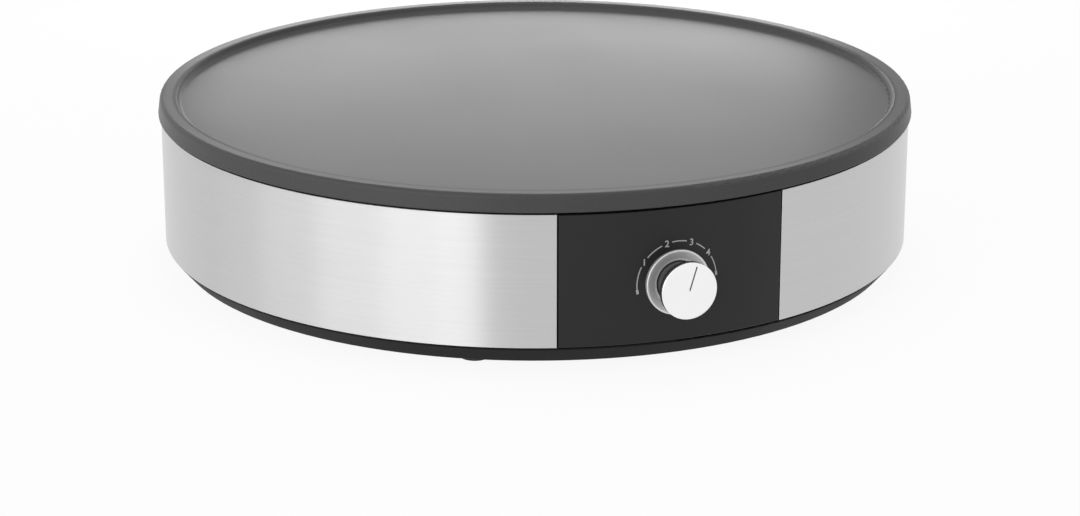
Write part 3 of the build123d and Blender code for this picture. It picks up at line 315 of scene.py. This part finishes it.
def turned_face(name, level, roughness, metallic=1.0):
    """Metal face turned on a lathe, with fine rings round the dial's axis; lacquer lowers metallic."""
    material, graph, shader, place = new_material(name)
    moved = graph.add("ShaderNodeVectorMath", {"operation": "SUBTRACT"})
    parts = graph.split(graph.put_all(moved, place, (0.0, 0.0, DIAL_HEIGHT)))
    radius = graph.math("MULTIPLY", graph.hypotenuse(parts["X"], parts["Z"]), RING_SCALE)
    rings = graph.noise(graph.merge(radius), 1.0, detail=2.0)
    gloss = graph.spread(rings, roughness - RING_GLOSS_SWING, roughness + RING_GLOSS_SWING)
    graph.put(shader, "Base Color", graph.ramp(rings, grey(level - 0.03), grey(level + 0.02)))
    graph.put(shader, "Roughness", gloss)
    graph.put(shader, "Normal", graph.bump(rings, 0.006 * MM, strength=0.4))
    graph.put(shader, "Metallic", metallic)
    graph.put(shader, "Anisotropic", RING_ANISOTROPY)
    graph.put(shader, "Tangent", graph.tangent("Y"))
    return material


def edge_roughness(graph, place):
    """Roughness added on the step between the cooking face and the rim, fading out at each side."""
    parts = graph.split(place)
    radius = graph.hypotenuse(parts["X"], parts["Y"])
    rise = graph.spread(radius, 0.0, EDGE_ROUGHNESS, EDGE_START, EDGE_START + EDGE_FADE)
    fall = graph.spread(radius, EDGE_ROUGHNESS, 0.0, EDGE_END - EDGE_FADE, EDGE_END)
    return graph.math("MINIMUM", rise, fall)


def plate_finish(name):
    """Cast plate with a grey non-stick coating: fine speckle, soft sheen and faint marks of use."""
    material, graph, shader, place = new_material(name)
    cloud = graph.noise(place, 9.0, detail=5.0)
    speckle = graph.noise(place, 1500.0, detail=2.0)
    pores = graph.noise(place, 420.0, roughness=0.65)
    tone = graph.blend(cloud, speckle, share=0.45)
    gloss = graph.spread(cloud, *PLATE_ROUGHNESS)
    gloss = graph.math("ADD", gloss, edge_roughness(graph, place))
    levels = graph.ramp(tone, *map(grey, PLATE_LEVELS), start=0.32, end=0.68)
    graph.put(shader, "Base Color", levels)
    graph.put(shader, "Roughness", gloss)
    graph.put(shader, "Normal", graph.bump(pores, 0.02 * MM, strength=0.35))
    graph.put(shader, "IOR", PLATE_IOR)
    return material


def striped(name, tint, stripe, roughness):
    """Wire insulation in two colours."""
    material, graph, shader, place = new_material(name)
    wave = graph.add("ShaderNodeTexWave", {"bands_direction": "DIAGONAL"}, Scale=60.0, Distortion=0.4)
    graph.put(wave, "Vector", place)
    graph.put(shader, "Base Color", graph.ramp(wave.outputs["Fac"], tint, stripe, start=0.55, end=0.6))
    graph.put(shader, "Roughness", roughness)
    graph.put(shader, "Normal", graph.bump(graph.noise(place, 700.0), 0.02 * MM))
    return material


# Slot of the record: colour, roughness and what else differs from a plain moulded surface
MOULDED = {
    "panel_plastic": (grey(0.008), 0.40,
                      {"grain": 1400.0, "depth": 0.012 * MM, "Specular_IOR_Level": 0.32}),
    "housing_plastic": (grey(0.006), 0.55, {"grain": 1100.0, "Specular_IOR_Level": 0.12}),
    "knob_side": (grey(0.016), 0.30, {"grain": 1600.0, "depth": 0.008 * MM}),
    "seal_rubber": (grey(0.012), 0.62, {"grain": 800.0}),
    "foot_rubber": (grey(0.016), 0.70, {"grain": 700.0, "depth": 0.04 * MM}),
    "gland_plastic": (grey(0.018), 0.48, {"grain": 1200.0}),
    "rating_foil": (grey(0.62), 0.38, {"grain": 2200.0, "Metallic": 1.0}),
    "zinc_steel": (colour(0.60, 0.61, 0.60), 0.34, {"Metallic": 1.0}),
    "reflector_sheet": (grey(0.74), 0.28, {"grain": 500.0, "Metallic": 1.0}),
    "element_sheath": (colour(0.10, 0.085, 0.075), 0.55, {"Metallic": 0.6}),
    "brass": (colour(0.72, 0.52, 0.22), 0.30, {"Metallic": 1.0}),
    "copper": (colour(0.80, 0.42, 0.27), 0.32, {"Metallic": 1.0}),
    "ceramic": (colour(0.80, 0.78, 0.72), 0.42, {"variation": 0.04}),
    "phenolic": (colour(0.055, 0.030, 0.018), 0.38, {}),
    "sleeve_nylon": (colour(0.62, 0.60, 0.54), 0.50, {"variation": 0.04}),
    "board_laminate": (colour(0.42, 0.33, 0.14), 0.55, {"grain": 2500.0}),
    "lamp_lens": (colour(0.62, 0.05, 0.03), 0.18, {"variation": 0.05}),
    "wire_brown": (colour(0.12, 0.045, 0.02), 0.45, {}),
    "wire_blue": (colour(0.03, 0.10, 0.42), 0.45, {}),
    "wire_black": (grey(0.02), 0.45, {}),
}


def make_finishes():
    """Material for each slot of the record."""
    finishes = {
        "plate_coating": plate_finish("plate_coating_look"),
        "band_steel": brushed_band("band_steel_look"),
        "knob_face": turned_face("knob_face_look", 0.90, 0.32),
        "bezel_metal": turned_face("bezel_metal_look", 0.76, 0.50, metallic=0.68),
    }
    for slot_name, (tint, roughness, rest) in MOULDED.items():
        finishes[slot_name] = moulded(f"{slot_name}_look", tint, roughness, **rest)
    finishes["wire_green"] = striped("wire_green_look", colour(0.05, 0.26, 0.06),
                                     colour(0.70, 0.62, 0.06), 0.45)
    return finishes


def dress_nodes(finishes):
    for node in nodes.values():
        for slot in node.material_slots:
            slot.material = finishes[slot.material.name.split(".")[0]]


# ------------------------------------------------------------------ printed scale and pointer
def add_piece(name, bm, material, body):
    """Turn a mesh into a visible piece that rides on a body."""
    mesh = bpy.data.meshes.new(name)
    bmesh.ops.recalc_face_normals(bm, faces=bm.faces)
    bm.to_mesh(mesh)
    bm.free()
    piece = bpy.data.objects.new(name, mesh)
    bpy.context.scene.collection.objects.link(piece)
    mesh.materials.append(material)
    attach(piece, body)


def join_loops(bm, before, after):
    """Faces between two loops of as many corners."""
    for index in range(len(before)):
        follow = (index + 1) % len(before)
        bm.faces.new((before[index], before[follow], after[follow], after[index]))


def on_panel(x, z, lift):
    """Point on the panel's curved face, from its place seen from the front."""
    radius = BAND_RADIUS + lift
    return Vector((x, -sqrt(radius ** 2 - x ** 2), z))


def line_section(bm, angle, width):
    """Corners of the printed line's cross-section at an angle."""
    spots = []
    bottom = PRINT_LIFT - PRINT_DEPTH
    for side, lift in ((-width / 2, bottom), (-width / 2, PRINT_LIFT),
                       (width / 2, PRINT_LIFT), (width / 2, bottom)):
        reach = SCALE_RADIUS + side
        spot = on_panel(reach * sin(angle), DIAL_HEIGHT + reach * cos(angle), lift)
        spots.append(bm.verts.new(spot))
    return spots


def ribbon(bm, start, end, width):
    """Raised stretch of printed line between two angles."""
    steps = int((end - start) / SCALE_STEP) + 1
    rings = [line_section(bm, radians(start + (end - start) * index / steps), width)
             for index in range(steps + 1)]
    for before, after in zip(rings, rings[1:]):
        join_loops(bm, before, after)
    bm.faces.new(rings[0][::-1])
    bm.faces.new(rings[-1])


def make_scale_line(material):
    """Line round the dial, left open at each numeral and thicker at its ends."""
    bm = bmesh.new()
    edges = [SCALE_START]
    for angle in sorted(SCALE_MARKS.values()):
        edges += [angle - SCALE_MARK_GAP, angle + SCALE_MARK_GAP]
    edges.append(SCALE_END)
    for start, end in zip(edges[0::2], edges[1::2]):
        ribbon(bm, start, end, SCALE_WIDTH)
    ribbon(bm, SCALE_START - SCALE_STOP_LENGTH, SCALE_START, SCALE_STOP_WIDTH)
    ribbon(bm, SCALE_END, SCALE_END + SCALE_STOP_LENGTH, SCALE_STOP_WIDTH)
    add_piece("scale_line", bm, material, "drum")


def flat_numeral(text):
    """Numeral as a flat mesh, upright in X and Y."""
    curve = bpy.data.curves.new("digit", "FONT")
    curve.body = text
    curve.align_x = "CENTER"
    curve.size = DIGIT_HEIGHT / DIGIT_SHARE
    curve.offset = DIGIT_WEIGHT
    curve.resolution_u = DIGIT_CURVE_STEPS
    words = bpy.data.objects.new("digit", curve)
    bpy.context.scene.collection.objects.link(words)
    flat = bpy.data.meshes.new_from_object(words.evaluated_get(bpy.context.evaluated_depsgraph_get()))
    bpy.data.objects.remove(words)
    bm = bmesh.new()
    bm.from_mesh(flat)
    bmesh.ops.triangulate(bm, faces=bm.faces)
    return bm


def make_digit(text, angle, material):
    """Numeral on the panel, its middle on the scale's line."""
    bm = flat_numeral(text)
    heights = [vertex.co.y for vertex in bm.verts]
    middle = (min(heights) + max(heights)) / 2
    centre_x = SCALE_RADIUS * sin(radians(angle))
    centre_z = DIAL_HEIGHT + SCALE_RADIUS * cos(radians(angle))
    for vertex in bm.verts:
        vertex.co = on_panel(centre_x + vertex.co.x, centre_z + vertex.co.y - middle, PRINT_LIFT)
    add_piece(f"scale_digit_{text}", bm, material, "drum")


def make_pointer(material):
    """Dark paint that fills the groove on the dial's bright face."""
    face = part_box("knob_cap")[0][1]
    along = Vector((sin(radians(POINTER_ANGLE)), 0, cos(radians(POINTER_ANGLE))))
    across = Vector((along.z, 0, -along.x)) * POINTER_WIDTH / 2
    centre = Vector((0, 0, DIAL_HEIGHT))
    bm = bmesh.new()
    layers = []
    for depth in (POINTER_SINK, POINTER_SINK + POINTER_DEPTH):
        level = Vector((0, face + depth, 0))
        corners = (along * POINTER_START - across, along * POINTER_START + across,
                   along * POINTER_END + across, along * POINTER_END - across)
        layers.append([bm.verts.new(centre + level + corner) for corner in corners])
    front, back = layers
    bm.faces.new(front)
    bm.faces.new(back[::-1])
    join_loops(bm, front, back)
    add_piece("pointer_paint", bm, material, "dial")


def add_print():
    """The printed scale on the panel and the paint in the dial's pointer."""
    print_look = moulded("scale_print_look", grey(0.38), 0.55, grain=1500.0, variation=0.05)
    make_scale_line(print_look)
    for text, angle in SCALE_MARKS.items():
        make_digit(text, angle, print_look)
    make_pointer(moulded("pointer_paint_look", grey(0.03), 0.55, grain=1500.0))


# ------------------------------------------------------------------ floor and light
def floor_finish():
    """Matt floor that keeps the object's shadow and is otherwise seen as plain white."""
    material = bpy.data.materials.new("floor_look")
    material.use_nodes = True
    graph = Graph(material.node_tree)
    diffuse = graph.add("ShaderNodeBsdfDiffuse", Color=grey(FLOOR_LEVEL))
    glow = graph.add("ShaderNodeEmission", Color=grey(1.0), Strength=1.0)
    share = graph.math("MULTIPLY", graph.seen_plainly(), FLOOR_GLOW)
    graph.finish(graph.mix(share, diffuse, glow))
    return material


def make_floor():
    bm = bmesh.new()
    bmesh.ops.create_circle(bm, cap_ends=True, segments=FLOOR_SEGMENTS, radius=FLOOR_RADIUS)
    mesh = bpy.data.meshes.new("floor")
    bm.to_mesh(mesh)
    bm.free()
    floor = bpy.data.objects.new("floor", mesh)
    bpy.context.scene.collection.objects.link(floor)
    mesh.materials.append(floor_finish())


def make_lamp(name, angle, distance, height, width, tall, power):
    """Area lamp that points at the object and isn't seen by the camera."""
    data = bpy.data.lights.new(name, "AREA")
    data.shape = "RECTANGLE"
    data.size = width
    data.size_y = tall
    data.energy = power
    lamp = bpy.data.objects.new(name, data)
    bpy.context.scene.collection.objects.link(lamp)
    lamp.location = around(distance, VIEW_AZIMUTH + angle, height)
    aim = LAMP_AIM - lamp.location
    lamp.rotation_euler = aim.to_track_quat("-Z", "Y").to_euler()
    lamp.visible_camera = False


def make_card(start, end, level):
    """Area lamp that fills a range of angles round the object."""
    width = 2 * CARD_DISTANCE * tan(radians(end - start) / 2)
    power = level * pi * width * CARD_HEIGHT    # so that the card is seen at its level
    make_lamp(f"card_{-start}", (start + end) / 2, CARD_DISTANCE, CARD_HEIGHT / 2,
              width, CARD_HEIGHT, power)


def make_world():
    """Even soft light, and a white surrounding wherever it is seen, mirrored or seen through."""
    world = bpy.data.worlds.new("studio")
    bpy.context.scene.world = world
    world.use_nodes = True
    graph = Graph(world.node_tree)
    lit = graph.add("ShaderNodeBackground", Color=grey(STUDIO_LEVEL))
    plain = graph.add("ShaderNodeBackground", Color=grey(1.0))
    graph.finish(graph.mix(graph.seen_plainly(), lit, plain), "ShaderNodeOutputWorld")


def make_light():
    for lamp in LAMPS:
        make_lamp(*lamp)
    for card in CARDS:
        make_card(*card)
    make_world()


make_camera()
dress_nodes(make_finishes())
add_print()
make_floor()
make_light()
bpy.context.scene.view_settings.view_transform = "Standard"
